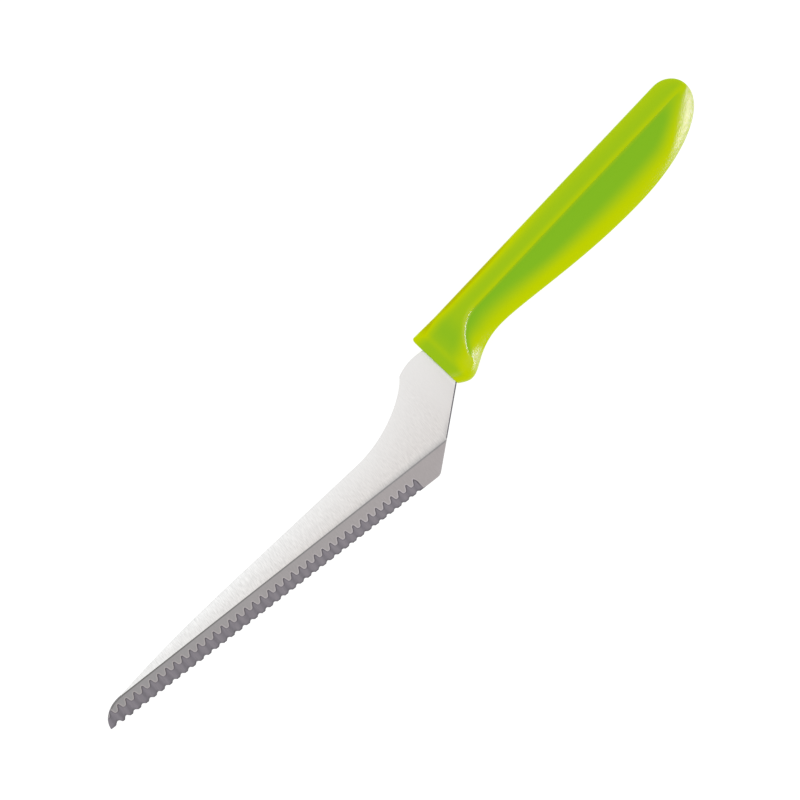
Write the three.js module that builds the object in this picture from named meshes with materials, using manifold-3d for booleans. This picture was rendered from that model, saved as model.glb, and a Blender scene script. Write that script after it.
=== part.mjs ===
// Offset utility knife with a serrated blade.
// One stamped steel blank is the blade, the cranked neck and a hidden tang. A moulded handle holds the tang.
// Millimetres. The knife lies on its side: X runs from the tip to the butt, Y from the edge to the spine,
// and Z is up through the thickness, with the ground and serrated face on top.
import * as THREE from "three";
import { mergeVertices } from "three/addons/utils/BufferGeometryUtils.js";
import Module from "manifold-3d";

const wasm = await Module();
wasm.setup();

// Handle, seen from the side. X is measured from the front face and Y from the handle's axis.
const HANDLE_LENGTH = 114.5;
const SPINE_Y = 9.3;
const FRONT_LIP = 0.3; // the spine stands this much higher at the front collar
const LIP_LENGTH = 11;
const FACE_BOTTOM_Y = -9.7;
const GUARD_X = 4.5; // lowest point of the finger guard
const GUARD_Y = -11.9;
const GUARD_REACH = 4; // how far the guard runs level before it turns up to the waist
const WAIST_X = 22;
const WAIST_Y = -6.85;
const WAIST_LEAD = 10; // level run of the waist towards the guard
const WAIST_TRAIL = 10; // level run of the waist towards the belly
const BELLY_X = 79;
const BELLY_Y = -12.3;
const BELLY_LEAD = 25; // level run of the belly towards the waist
const BUTT_Y = 2.5; // height of the rearmost point, which the crease runs into
const BUTT_TOP_LENGTH = 7.6; // the spine rounds off over this length
const BELLY_POWER = 2.1; // roundness of the belly's sweep up to the butt

// Handle, seen from above: half thicknesses along its length.
const FACE_HALF = 4.3;
const NOSE_CHAMFER = 4.3; // length of the slanted facet behind the front face
const COLLAR_HALF = 6.7;
const WAIST_HALF = 6.3;
const BELLY_HALF = 7.75;
const BUTT_POWER = 2.6;
const FACE_BREAK = 0.4; // broken edge round the front face

// Handle, in section.
const SPINE_RADIUS = 2.6;
const RADIUS_SHARE = 0.75; // the spine's corners never take more than this share of a small section
const BAND_LEAN = 0.7; // the band above the crease is this much thinner at the spine
const PANEL_POWER = 2.2; // roundness of the grip panel, from the crease to the belly
const GUARD_ROUND = 4; // height of the rounded lower edge of the guard
const CREASE_BEND_X = 20.4; // the crease leaves its straight run here and bends down to the guard
const CREASE_BEND_LENGTH = 13;
const CREASE_BEND_DROP = 16;
const STEP_DEPTH = 0.45; // the grip panel lies this much below the crease
const STEP_RUN = 0.25; // sideways run of the little wall at the crease
const STEP_FADE_FRONT = 3;
const STEP_FADE_BUTT = 16;
const STEP_LEAST = 0.02;

// Blade, seen from the side, in the handle's X and Y.
const STEEL = 1.5;
const EDGE_BREAK = 0.2; // broken edges of the stamped blank
const HEEL_X = -24;
const HEEL_Y = -25.25;
const HEEL_RADIUS = 1.2;
const EDGE_LENGTH = 127.4;
const EDGE_ANGLE = 8.8; // the edge rises towards the tip, against the handle's axis
const NOSE_LENGTH = 9; // rounded nose, along the edge
const NOSE_HEIGHT = 6.76;
const NOSE_LEAD_X = 30; // the spine reaches the nose from this spot
const NOSE_LEAD_Y = 0.8;
const SPINE_LOW_X = -37.8; // lowest point of the blade's spine, below the neck
const SPINE_LOW_Y = -4.75;
const SPINE_TRAIL_X = 58; // the spine leaves its low point towards this spot
const SPINE_TRAIL_Y = 3.4;
const SWEEP_TRAIL = 13.9; // level run of the low point towards the neck
const NECK_TOP_Y = 4.9; // the neck where it meets the handle
const NECK_BOTTOM_Y = -9.4;
const NECK_CROWN = 1.5; // the neck's top is drawn this far up from its two ends, and bulges half as much
const NECK_CORNER_X = -10.4; // soft corner between the neck's crown and the sweep to the spine
const NECK_CORNER_Y = 4.75;
const NECK_CORNER_ROUND = 1.2;
const SWEEP_LEAD_X = 3; // the sweep leaves the neck's corner towards this spot
const SWEEP_LEAD_Y = 3.3;

// Ground bevel and serrations, measured from the edge.
const BEVEL_WIDTH_TIP = 6.6;
const BEVEL_WIDTH_HEEL = 7.5;
const BEVEL_ANGLE = 7.5;
const GROOVE_COUNT = 40;
const GROOVE_PITCH_TIP = 3.09; // the grooves stand a little closer towards the heel
const GROOVE_PITCH_HEEL = 2.9;
const GROOVE_FIRST = 3.07; // from the tip corner to the first groove
const GROOVE_DEPTH = 0.28;
const GROOVE_ANGLE = 16.2;
const GROOVE_POWER = 2.2; // above 1 the grooves are narrower than the ridges between them
const GROOVE_RUNOUT = 1.7; // the last groove's flank runs out over this length
const GULLET_DEPTH = 0.25; // at the edge the grooves open into wide gullets between the teeth
const GULLET_SHIFT_TIP = 0.2; // the grooves slant, so that a gullet lies this far behind its groove
const GULLET_SHIFT_HEEL = -1.2;
const GULLET_REACH = 0.6; // the gullets keep their shape to here, measured from the edge
const GROOVE_REACH = 2.6; // from here on the grooves have their full shape
const TIP_TOOTH = 0.4; // share of the gullet's depth that is left at the tip corner
const TOOTH_LAND_TIP = 0.06; // steel left at the tooth points, near the tip and near the heel
const TOOTH_LAND_HEEL = 0.12;

// Tang inside the handle.
const TANG_LENGTH = 78;
const TANG_TOP_FRONT = 4.2;
const TANG_BOTTOM_FRONT = -5.4;
const TANG_TOP_END = 3.4;
const TANG_BOTTOM_END = -3.2;
const KEY_HOLE_RADIUS = 2; // the plastic runs through these holes and keys the tang
const KEY_HOLE_X = [22, 52];
const TANG_CLEARANCE = 0.3; // between the steel and the moulding, all round
const SHOULDER_GAP = 0.3; // between the neck's shoulders and the front face

// How finely the curves are cut.
const CURVE_STEPS = 14;
const GROOVE_STEPS = 10;
const RUNOUT_STEPS = 6;
const NOSE_STEPS = 12;
const CORNER_STEPS = 4;
const PANEL_STEPS = 9;
const STATION_STEP = 2.4;
const FRONT_STATION_STEP = 0.8;
const BUTT_STATIONS = 9;
const CUT_MARGIN = 3; // cutters stand this far clear of what they cut

const STEEL_LOOK = new THREE.MeshStandardMaterial({ color: 0xd9d8d6, roughness: 0.32, metalness: 1 });
const PLASTIC_LOOK = new THREE.MeshStandardMaterial({ color: 0x93c81a, roughness: 0.35, metalness: 0 });

const point = (x, y) => new THREE.Vector2(x, y);
const { lerp, clamp, smoothstep, degToRad } = THREE.MathUtils;

// Closed three.js geometry to a solid for joining and cutting, and back.
function solidOf(geometry) {
  const bare = new THREE.BufferGeometry().setAttribute("position", geometry.getAttribute("position"));
  bare.setIndex(geometry.getIndex());
  const merged = mergeVertices(bare);
  const vertProperties = merged.getAttribute("position").array;
  const triVerts = new Uint32Array(merged.getIndex().array);
  return new wasm.Manifold(new wasm.Mesh({ numProp: 3, vertProperties, triVerts }));
}

function geometryOf(solid) {
  const { vertProperties, triVerts } = solid.getMesh();
  const geometry = new THREE.BufferGeometry();
  geometry.setAttribute("position", new THREE.BufferAttribute(vertProperties, 3));
  geometry.setIndex(new THREE.BufferAttribute(triVerts, 1));
  geometry.computeVertexNormals();
  return geometry;
}

// A quarter of a superellipse: 1 at 0, falling to 0 at 1.
function quarter(share, power) {
  return (1 - clamp(share, 0, 1) ** power) ** (1 / power);
}

// Height of a curve at x, where the curve runs steadily towards +X.
function heightOn(curve, x) {
  let low = 0;
  let high = 1;
  for (let i = 0; i < 40; i++) {
    const middle = (low + high) / 2;
    if (curve.getPoint(middle).x < x) low = middle;
    else high = middle;
  }
  return curve.getPoint(low).y;
}

// The handle's lower outline turns level at the guard, the waist and the belly.
const guardToWaist = new THREE.CubicBezierCurve(
  point(GUARD_X, GUARD_Y),
  point(GUARD_X + GUARD_REACH, GUARD_Y),
  point(WAIST_X - WAIST_LEAD, WAIST_Y),
  point(WAIST_X, WAIST_Y),
);
const waistToBelly = new THREE.CubicBezierCurve(
  point(WAIST_X, WAIST_Y),
  point(WAIST_X + WAIST_TRAIL, WAIST_Y),
  point(BELLY_X - BELLY_LEAD, BELLY_Y),
  point(BELLY_X, BELLY_Y),
);

function bellyHeight(x) {
  if (x < GUARD_X) return lerp(FACE_BOTTOM_Y, GUARD_Y, Math.sin((x / GUARD_X) * (Math.PI / 2)));
  if (x < WAIST_X) return heightOn(guardToWaist, x);
  if (x < BELLY_X) return heightOn(waistToBelly, x);
  return lerp(BUTT_Y, BELLY_Y, quarter((x - BELLY_X) / (HANDLE_LENGTH - BELLY_X), BELLY_POWER));
}

function spineHeight(x) {
  const level = SPINE_Y + FRONT_LIP * (1 - smoothstep(x, 0, LIP_LENGTH));
  return lerp(BUTT_Y, level, quarter((x - HANDLE_LENGTH + BUTT_TOP_LENGTH) / BUTT_TOP_LENGTH, 2));
}

function halfThickness(x) {
  if (x < NOSE_CHAMFER) return lerp(FACE_HALF, COLLAR_HALF, x / NOSE_CHAMFER);
  if (x < WAIST_X) return lerp(COLLAR_HALF, WAIST_HALF, smoothstep(x, NOSE_CHAMFER, WAIST_X));
  if (x < BELLY_X) return lerp(WAIST_HALF, BELLY_HALF, smoothstep(x, WAIST_X, BELLY_X));
  return BELLY_HALF * quarter((x - BELLY_X) / (HANDLE_LENGTH - BELLY_X), BUTT_POWER);
}

// The crease runs straight from the butt, bends down, and ends on top of the guard's rounded edge.
function creaseHeight(x) {
  const guardTop = bellyHeight(x) + GUARD_ROUND;
  const bend = clamp((CREASE_BEND_X - x) / CREASE_BEND_LENGTH, 0, 1);
  const crease = BUTT_Y - CREASE_BEND_DROP * (1 - quarter(bend, 2));
  return x < CREASE_BEND_X ? Math.max(crease, guardTop) : BUTT_Y;
}

// Where the bent crease meets the guard: the step at the crease starts here.
function creaseStart() {
  let x = CREASE_BEND_X - CREASE_BEND_LENGTH;
  while (x < CREASE_BEND_X && creaseHeight(x) <= bellyHeight(x) + GUARD_ROUND) x += FRONT_STATION_STEP / 4;
  return x;
}
const CREASE_START_X = creaseStart();

function stepDepth(x) {
  const front = smoothstep(x, CREASE_START_X, CREASE_START_X + STEP_FADE_FRONT);
  const butt = 1 - smoothstep(x, HANDLE_LENGTH - STEP_FADE_BUTT, HANDLE_LENGTH);
  return STEP_LEAST + (STEP_DEPTH - STEP_LEAST) * front * butt;
}

// One section of the handle, as points in Y and Z from the spine's middle round to the belly's middle.
// An inset draws the whole section in, for the broken edge of the front face.
function halfSection(x, inset) {
  const top = spineHeight(x) - inset;
  const bottom = bellyHeight(x) + inset;
  const crease = creaseHeight(x);
  const creaseHalf = halfThickness(x) - inset;
  const roundness = Math.min(1, creaseHalf / COLLAR_HALF);
  const bandHalf = creaseHalf - BAND_LEAN * roundness;
  const radius = Math.min(SPINE_RADIUS, (top - crease) * RADIUS_SHARE, bandHalf * RADIUS_SHARE);
  const points = [point(top, 0), point(top, (bandHalf - radius) / 2)];
  for (let i = 0; i <= CORNER_STEPS; i++) {
    const turn = (i / CORNER_STEPS) * (Math.PI / 2);
    points.push(point(top - radius + radius * Math.cos(turn), bandHalf - radius + radius * Math.sin(turn)));
  }
  const bandTop = top - radius;
  points.push(point((bandTop + crease) / 2, (bandHalf + creaseHalf) / 2), point(crease, creaseHalf));
  const panelTop = crease - STEP_RUN * roundness;
  const panelHalf = creaseHalf - stepDepth(x) * roundness;
  for (let i = 0; i <= PANEL_STEPS; i++) {
    const turn = (i / PANEL_STEPS) * (Math.PI / 2);
    const down = Math.sin(turn) ** (2 / PANEL_POWER);
    const out = i < PANEL_STEPS ? Math.cos(turn) ** (2 / PANEL_POWER) : 0;
    points.push(point(lerp(panelTop, bottom, down), panelHalf * out));
  }
  return points;
}

// Closed ring of a section, in space.
function ringAt(x, inset) {
  const half = halfSection(x, inset);
  const mirrored = half.slice(1, -1).reverse().map((p) => point(p.x, -p.y));
  return [...half, ...mirrored].map((p) => new THREE.Vector3(x, p.x, p.y));
}

// Skin over a row of rings, closed by a flat cap at the first and a pole at the last.
function loft(rings, capCentre, pole) {
  const count = rings[0].length;
  const vertices = [...rings.flat(), capCentre, pole];
  const cap = vertices.length - 2;
  const end = vertices.length - 1;
  const index = [];
  for (let j = 0; j < count; j++) {
    const next = (j + 1) % count;
    for (let i = 0; i + 1 < rings.length; i++) {
      const [a, b, c, d] = [i * count + j, i * count + next, (i + 1) * count + j, (i + 1) * count + next];
      index.push(a, b, c, b, d, c);
    }
    const last = (rings.length - 1) * count;
    index.push(cap, next, j, end, last + j, last + next);
  }
  const geometry = new THREE.BufferGeometry().setFromPoints(vertices);
  geometry.setIndex(index);
  return geometry;
}

// Places of the sections: close at the front and at the rounded butt, wider between.
function stations() {
  const places = [FACE_BREAK];
  const fine = Math.ceil(CREASE_BEND_X / FRONT_STATION_STEP);
  for (let i = 1; i <= fine; i++) places.push(lerp(FACE_BREAK, CREASE_BEND_X, i / fine));
  const buttStart = HANDLE_LENGTH - STEP_FADE_BUTT;
  const coarse = Math.ceil((buttStart - CREASE_BEND_X) / STATION_STEP);
  for (let i = 1; i <= coarse; i++) places.push(lerp(CREASE_BEND_X, buttStart, i / coarse));
  for (let i = 1; i < BUTT_STATIONS; i++) {
    places.push(lerp(buttStart, HANDLE_LENGTH, Math.sin((i / BUTT_STATIONS) * (Math.PI / 2))));
  }
  return places;
}

// Outline of the tang, which the handle's slot repeats larger by the clearance.
function tangOutline(shape, front, grow) {
  const end = TANG_LENGTH + grow;
  const round = (TANG_TOP_END - TANG_BOTTOM_END) / 2 + grow;
  shape.lineTo(front, TANG_BOTTOM_FRONT - grow);
  shape.lineTo(0, TANG_BOTTOM_FRONT - grow);
  shape.lineTo(end - round, TANG_BOTTOM_END - grow);
  shape.absarc(end - round, (TANG_TOP_END + TANG_BOTTOM_END) / 2, round, -Math.PI / 2, Math.PI / 2, false);
  shape.lineTo(0, TANG_TOP_FRONT + grow);
  shape.lineTo(front, TANG_TOP_FRONT + grow);
}

function keyHoles(grow) {
  return KEY_HOLE_X.map((x) => {
    const share = x / TANG_LENGTH;
    const top = lerp(TANG_TOP_FRONT, TANG_TOP_END, share);
    const bottom = lerp(TANG_BOTTOM_FRONT, TANG_BOTTOM_END, share);
    return new THREE.Path().absarc(x, (top + bottom) / 2, KEY_HOLE_RADIUS - grow, 0, 2 * Math.PI, true);
  });
}

// Slot in the handle, open at the front face, with the plastic keys left standing in it.
function tangSlot() {
  const shape = new THREE.Shape();
  const front = -CUT_MARGIN;
  shape.moveTo(front, TANG_TOP_FRONT + TANG_CLEARANCE);
  tangOutline(shape, front, TANG_CLEARANCE);
  shape.holes = keyHoles(TANG_CLEARANCE);
  const depth = STEEL + 2 * TANG_CLEARANCE;
  const slot = new THREE.ExtrudeGeometry(shape, { depth, bevelEnabled: false, curveSegments: CURVE_STEPS });
  return slot.translate(0, 0, -depth / 2);
}

function makeHandle() {
  const rings = [ringAt(0, FACE_BREAK), ...stations().map((x) => ringAt(x, 0))];
  const body = loft(rings, new THREE.Vector3(0, 0, 0), new THREE.Vector3(HANDLE_LENGTH, BUTT_Y, 0));
  const handle = solidOf(body).subtract(solidOf(tangSlot()));
  const mesh = new THREE.Mesh(geometryOf(handle), PLASTIC_LOOK);
  mesh.name = "handle";
  return mesh;
}

// The edge's own frame: along the edge from the tip corner to the heel, and across it towards the spine.
const edgeTurn = degToRad(EDGE_ANGLE);
const alongEdge = point(Math.cos(edgeTurn), -Math.sin(edgeTurn));
const acrossEdge = point(Math.sin(edgeTurn), Math.cos(edgeTurn));
const heelCorner = point(HEEL_X, HEEL_Y);
const tipCorner = heelCorner.clone().addScaledVector(alongEdge, -EDGE_LENGTH);
const onEdge = (along, across) =>
  tipCorner.clone().addScaledVector(alongEdge, along).addScaledVector(acrossEdge, across);

// Rounds a corner of an outline: stops short of it on the way in and starts again past it on the way out.
function roundCorner(shape, before, corner, after, reach) {
  const enter = corner.clone().addScaledVector(before.clone().sub(corner).normalize(), reach);
  const leave = corner.clone().addScaledVector(after.clone().sub(corner).normalize(), reach);
  shape.lineTo(enter.x, enter.y);
  shape.quadraticCurveTo(corner.x, corner.y, leave.x, leave.y);
}

// Outline of the stamped blank: edge, heel, back of the neck, tang, top of the neck, spine and nose.
function blankOutline() {
  const shoulder = -SHOULDER_GAP;
  const neckBottom = point(shoulder, NECK_BOTTOM_Y);
  const neckTop = point(shoulder, NECK_TOP_Y);
  const neckCorner = point(NECK_CORNER_X, NECK_CORNER_Y);
  const crown = point((shoulder + NECK_CORNER_X) / 2, (NECK_TOP_Y + NECK_CORNER_Y) / 2 + NECK_CROWN);
  const spineLow = point(SPINE_LOW_X, SPINE_LOW_Y);
  const noseTop = onEdge(NOSE_LENGTH, NOSE_HEIGHT);

  const shape = new THREE.Shape();
  shape.moveTo(tipCorner.x, tipCorner.y);
  roundCorner(shape, tipCorner, heelCorner, neckBottom, HEEL_RADIUS);
  shape.lineTo(neckBottom.x, neckBottom.y);
  tangOutline(shape, shoulder, 0);
  shape.lineTo(neckTop.x, neckTop.y);
  const crownEnd = neckCorner.clone().lerp(crown, NECK_CORNER_ROUND / neckCorner.distanceTo(crown));
  shape.quadraticCurveTo(crown.x, crown.y, crownEnd.x, crownEnd.y);
  roundCorner(shape, crown, neckCorner, spineLow, NECK_CORNER_ROUND);
  shape.bezierCurveTo(
    neckCorner.x - SWEEP_LEAD_X,
    neckCorner.y - SWEEP_LEAD_Y,
    spineLow.x + SWEEP_TRAIL,
    spineLow.y,
    spineLow.x,
    spineLow.y,
  );
  shape.bezierCurveTo(
    spineLow.x - SPINE_TRAIL_X,
    spineLow.y + SPINE_TRAIL_Y,
    noseTop.x + NOSE_LEAD_X,
    noseTop.y + NOSE_LEAD_Y,
    noseTop.x,
    noseTop.y,
  );
  for (let i = 1; i < NOSE_STEPS; i++) {
    const turn = (i / NOSE_STEPS) * (Math.PI / 2);
    const p = onEdge(NOSE_LENGTH * (1 - Math.sin(turn)), NOSE_HEIGHT * Math.cos(turn));
    shape.lineTo(p.x, p.y);
  }
  shape.holes = keyHoles(0);
  return shape;
}

function blank() {
  const settings = {
    depth: STEEL - 2 * EDGE_BREAK,
    bevelEnabled: true,
    bevelThickness: EDGE_BREAK,
    bevelSize: EDGE_BREAK,
    bevelOffset: -EDGE_BREAK,
    bevelSegments: 1,
    curveSegments: CURVE_STEPS,
  };
  return new THREE.ExtrudeGeometry(blankOutline(), settings).translate(0, 0, EDGE_BREAK - STEEL / 2);
}

// A frame for a cutter that runs along a line in the blade's plane and slopes down towards the edge.
// Local X runs along the line, local Y stands square out of the cut, and local Z runs down the slope.
function slopeFrame(origin, along, slope) {
  const across = new THREE.Vector3(-along.y, along.x, 0);
  const up = new THREE.Vector3(0, 0, 1);
  const down = across.clone().multiplyScalar(-Math.cos(slope)).addScaledVector(up, -Math.sin(slope));
  const out = across.clone().multiplyScalar(-Math.sin(slope)).addScaledVector(up, Math.cos(slope));
  const frame = new THREE.Matrix4().makeBasis(new THREE.Vector3(along.x, along.y, 0), out, down);
  return frame.setPosition(origin);
}

// What the bevel grind takes off: everything above a plane that falls from the shoulder line to the edge.
function bevelCut() {
  const start = onEdge(-CUT_MARGIN, BEVEL_WIDTH_TIP);
  const end = onEdge(EDGE_LENGTH, BEVEL_WIDTH_HEEL);
  const along = end.clone().sub(start).normalize();
  const length = end.distanceTo(start) + SPINE_Y - HEEL_Y;
  const fall = BEVEL_WIDTH_TIP + BEVEL_WIDTH_HEEL + CUT_MARGIN;
  const shape = new THREE.Shape();
  shape.moveTo(-CUT_MARGIN, 0).lineTo(length, 0).lineTo(length, fall).lineTo(-CUT_MARGIN, fall);
  const cut = new THREE.ExtrudeGeometry(shape, { depth: fall, bevelEnabled: false });
  const origin = new THREE.Vector3(start.x, start.y, STEEL / 2);
  return cut.applyMatrix4(slopeFrame(origin, along, degToRad(BEVEL_ANGLE)));
}

// How many grooves lie before a place along the edge, counted from the middle of the first.
const tighten = (GROOVE_PITCH_TIP - GROOVE_PITCH_HEEL) / (GROOVE_COUNT - 1);
const groovesTo = (along) =>
  (GROOVE_PITCH_TIP - Math.sqrt(GROOVE_PITCH_TIP ** 2 - 2 * tighten * (along - GROOVE_FIRST))) / tighten;
const lastGroove = GROOVE_FIRST + ((GROOVE_COUNT - 1) * (GROOVE_PITCH_TIP + GROOVE_PITCH_HEEL)) / 2;

// A row of rounded grooves: 1 in the middle of each, 0 between two of them.
const grooveWave = (count, power) => (0.5 + 0.5 * Math.cos(2 * Math.PI * count)) ** power;

// Height of the grooves over the blade's back face, at a place along and across the edge.
function grooveHeight(along, across) {
  const share = along / EDGE_LENGTH;
  const shift = lerp(GULLET_SHIFT_TIP, GULLET_SHIFT_HEEL, share);
  const gullets = Math.min(groovesTo(along - shift), GROOVE_COUNT - 0.5);
  const grooves = Math.min(groovesTo(along), GROOVE_COUNT - 1);
  const tip = lerp(TIP_TOOTH, 1, smoothstep(along, 0, GROOVE_FIRST - GROOVE_PITCH_TIP / 2));
  const gullet = GULLET_DEPTH * grooveWave(gullets, 1) * tip;
  const groove = GROOVE_DEPTH * grooveWave(grooves, GROOVE_POWER);
  const body = clamp((across - GULLET_REACH) / (GROOVE_REACH - GULLET_REACH), 0, 1);
  const floor = lerp(TOOTH_LAND_TIP, TOOTH_LAND_HEEL, share) - lerp(gullet, groove, body);
  const runout = quarter((along - lastGroove) / GROOVE_RUNOUT, 2);
  return lerp(STEEL, floor, runout) + across * Math.tan(degToRad(GROOVE_ANGLE));
}

// What the serration wheel takes off: rounded grooves side by side, running up the bevel from the edge.
function serrationCut() {
  const rows = [-CUT_MARGIN, 0, GULLET_REACH, GROOVE_REACH, BEVEL_WIDTH_HEEL];
  const lid = 2 * STEEL + CUT_MARGIN;
  const places = [];
  const steps = (GROOVE_COUNT + 1) * GROOVE_STEPS;
  for (let i = 0; i <= steps; i++) places.push(lerp(-GROOVE_PITCH_TIP / 2, lastGroove, i / steps));
  for (let i = 1; i <= RUNOUT_STEPS; i++) places.push(lastGroove + (GROOVE_RUNOUT * i) / RUNOUT_STEPS);
  const spot = (along, across, height) => {
    const flat = onEdge(along, across);
    return new THREE.Vector3(flat.x, flat.y, height - STEEL / 2);
  };
  const rings = places.map((along) => [
    spot(along, rows[0], lid),
    ...rows.map((across) => spot(along, across, grooveHeight(along, across))),
    spot(along, rows.at(-1), lid),
  ]);
  const middle = (ring) => ring[0].clone().lerp(ring.at(-2), 0.5);
  return loft(rings, middle(rings[0]), middle(rings.at(-1)));
}

function makeBlade() {
  const blade = solidOf(blank()).subtract(solidOf(bevelCut())).subtract(solidOf(serrationCut()));
  const mesh = new THREE.Mesh(geometryOf(blade), STEEL_LOOK);
  mesh.name = "blade";
  return mesh;
}

// The knife lies on the handle's side, with the origin below the middle of its box.
const knife = new THREE.Group();
knife.add(makeBlade(), makeHandle());
const box = new THREE.Box3().setFromObject(knife);
knife.position.set(-(box.min.x + box.max.x) / 2, -(box.min.y + box.max.y) / 2, -box.min.z);

const root = new THREE.Group();
root.add(knife);
export default root;
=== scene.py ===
import math

import bmesh
import bpy
import numpy as np
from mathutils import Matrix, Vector
from mathutils.geometry import interpolate_bezier


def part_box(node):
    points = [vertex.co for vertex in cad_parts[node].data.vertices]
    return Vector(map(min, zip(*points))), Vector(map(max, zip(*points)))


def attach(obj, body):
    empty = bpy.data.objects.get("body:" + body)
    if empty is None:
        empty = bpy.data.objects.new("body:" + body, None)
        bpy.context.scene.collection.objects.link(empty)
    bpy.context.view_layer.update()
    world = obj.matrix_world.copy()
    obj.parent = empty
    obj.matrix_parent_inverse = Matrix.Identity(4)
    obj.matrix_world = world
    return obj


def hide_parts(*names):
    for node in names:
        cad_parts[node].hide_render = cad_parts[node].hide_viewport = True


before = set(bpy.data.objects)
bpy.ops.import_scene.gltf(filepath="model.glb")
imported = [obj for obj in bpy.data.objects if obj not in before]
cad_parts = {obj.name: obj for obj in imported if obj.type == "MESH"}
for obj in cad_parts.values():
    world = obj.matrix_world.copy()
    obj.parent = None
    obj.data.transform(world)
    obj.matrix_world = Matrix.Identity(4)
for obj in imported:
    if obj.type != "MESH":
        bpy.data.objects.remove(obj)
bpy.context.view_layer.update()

# Sizes in metres. X is measured from the handle's front face, Y from its axis and Z from the steel's middle.
# Handle from the side.
HANDLE_LENGTH = 0.1145
SPINE_Y = 0.0093
FRONT_LIP = 0.0003
LIP_LENGTH = 0.011
FRONT_ROUND = 0.0009  # rounding of the spine's front corner
FACE_BOTTOM_Y = -0.0097
GUARD = (0.0045, -0.0119)
GUARD_REACH = 0.004
WAIST = (0.022, -0.00685)
WAIST_LEAD = 0.010
WAIST_TRAIL = 0.010
BELLY = (0.079, -0.0123)
BELLY_LEAD = 0.025
BUTT_Y = 0.0025
BUTT_TOP_LENGTH = 0.0076
BELLY_POWER = 2.1

# Handle from above: half thicknesses.
FACE_HALF = 0.0043
NOSE_CHAMFER = 0.0043
CHAMFER_SOFT = 0.0016  # softness of the ridge behind the front facet
COLLAR_HALF = 0.0067
WAIST_HALF = 0.0063
BELLY_HALF = 0.00775
BUTT_POWER = 2.6
FACE_BREAK = 0.0004

# Handle in section.
SPINE_RADIUS = 0.0026
RADIUS_SHARE = 0.75
SPINE_CROWN = 0.00015
BAND_LEAN = 0.0007  # the band above the crease is this much thinner at the spine
BAND_BULGE = 0.00012
PANEL_POWER = 2.2
GUARD_ROUND = 0.0031
CREASE_BEND_X = 0.0204
CREASE_BEND_LENGTH = 0.0142
CREASE_BEND_DROP = 0.020
STEP_DEPTH = 0.00045  # the grip panel lies this much below the crease
STEP_RUN = 0.00025
STEP_STEEPEST = 2.2  # the crease's wall grows no taller than this many times
STEP_FADE_FRONT = 0.003
STEP_FADE_BUTT = 0.016
STEP_LEAST = 0.00002

# Blade from the side.
STEEL = 0.0015
EDGE_BREAK = 0.00015
NECK_BREAK = 0.0005
BREAK_SHARE = 0.35  # a broken edge never takes more than this share of thin steel
HEEL = Vector((-0.024, -0.02525))
HEEL_REACH = 0.0012
EDGE_LENGTH = 0.1274
EDGE_ANGLE = math.radians(8.8)
NOSE_LENGTH = 0.009
NOSE_HEIGHT = 0.00676
NOSE_LEAD = Vector((0.030, 0.0008))
SPINE_LOW = Vector((-0.0378, -0.00475))
SPINE_TRAIL = Vector((-0.058, 0.0034))
SWEEP_TRAIL = Vector((0.0139, 0))
SWEEP_LEAD = Vector((-0.003, -0.0033))
NECK_TOP_Y = 0.0049
NECK_BOTTOM_Y = -0.0094
NECK_CROWN = 0.0015  # the neck's top is drawn this far up, and bulges half as much
NECK_CORNER = Vector((-0.0104, 0.00475))
NECK_CORNER_REACH = 0.0004
SHOULDER_X = -0.00002

# Bevel and serrations, measured from the edge.
BEVEL_WIDTH_TIP = 0.0066
BEVEL_WIDTH_HEEL = 0.0075
BEVEL_SLOPE = math.tan(math.radians(7.5))
GROOVE_COUNT = 40
GROOVE_PITCH_TIP = 0.00309
GROOVE_PITCH_HEEL = 0.0029
GROOVE_FIRST = 0.00307  # from the tip corner to the first groove
GROOVE_DEPTH = 0.00028
GROOVE_SLOPE = math.tan(math.radians(16.2))
GROOVE_POWER = 2.2
GROOVE_FULLNESS = 1.4
GROOVE_LEAN = 0.10
GROOVE_RUNOUT = 0.0017  # the last groove's flank runs out over this length
GULLET_DEPTH = 0.00025
GULLET_SHIFT_TIP = 0.0002
GULLET_SHIFT_HEEL = -0.0012
GULLET_REACH = 0.0006
GROOVE_REACH = 0.0026
TIP_BLUNT = 0.00013  # steel ground off the first tooth, whose corner is rounded
TIP_ROUND = 0.0003
FIRST_GULLET = 1.6  # the first gullet is this many times as deep as the later ones
TOOTH_LAND_TIP = 0.00006  # steel left at the tooth points
TOOTH_LAND_HEEL = 0.00012

# Widths of painted lines: painted shade at the edge and inside the grooves, a painted light rim beside
# them, and a darker line at the shoulder, which also has a real shallow dip.
EDGE_LINE = 0.00035
GROOVE_SHADE = 0.00045
GROOVE_RIM = 0.00042
SHOULDER_LINE = 0.00028
SHOULDER_DIP = 0.00002

# Tang in the handle, lowest and highest at the shoulder and at its far end.
TANG_LENGTH = 0.078
TANG_FRONT = (-0.0054, 0.0042)
TANG_END = (-0.0032, 0.0034)
TANG_FIT = 0.00003

# The knife's own zero in the frame: front face, axis of the handle, middle of the steel.
handle_low, handle_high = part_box("handle")
KNIFE_ZERO = Vector((
    handle_low.x,
    handle_high.y - SPINE_Y - FRONT_LIP,
    (handle_low.z + handle_high.z) / 2,
))


def lerp(a, b, share):
    return a + (b - a) * share


def smoothstep(value, start, end):
    share = min(max((value - start) / (end - start), 0), 1)
    return share * share * (3 - 2 * share)


def fade(value, start, end):
    """1 up to the start and 0 from the end on."""
    return 1 - smoothstep(value, start, end)


def hump(value, centre, reach):
    """1 at the centre, falling to 0 at the reach on both sides."""
    return fade(abs(value - centre), 0, reach)


def quarter(share, power):
    """A quarter of a superellipse: 1 at 0, falling to 0 at 1."""
    return (1 - min(max(share, 0), 1) ** power) ** (1 / power)


def bend(start, lead, trail, end, steps=160):
    """Points along a curve that leaves start towards lead and reaches end from trail."""
    flat = [Vector((p[0], p[1], 0)) for p in (start, lead, trail, end)]
    return np.array(interpolate_bezier(*flat, steps))[:, :2]


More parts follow.
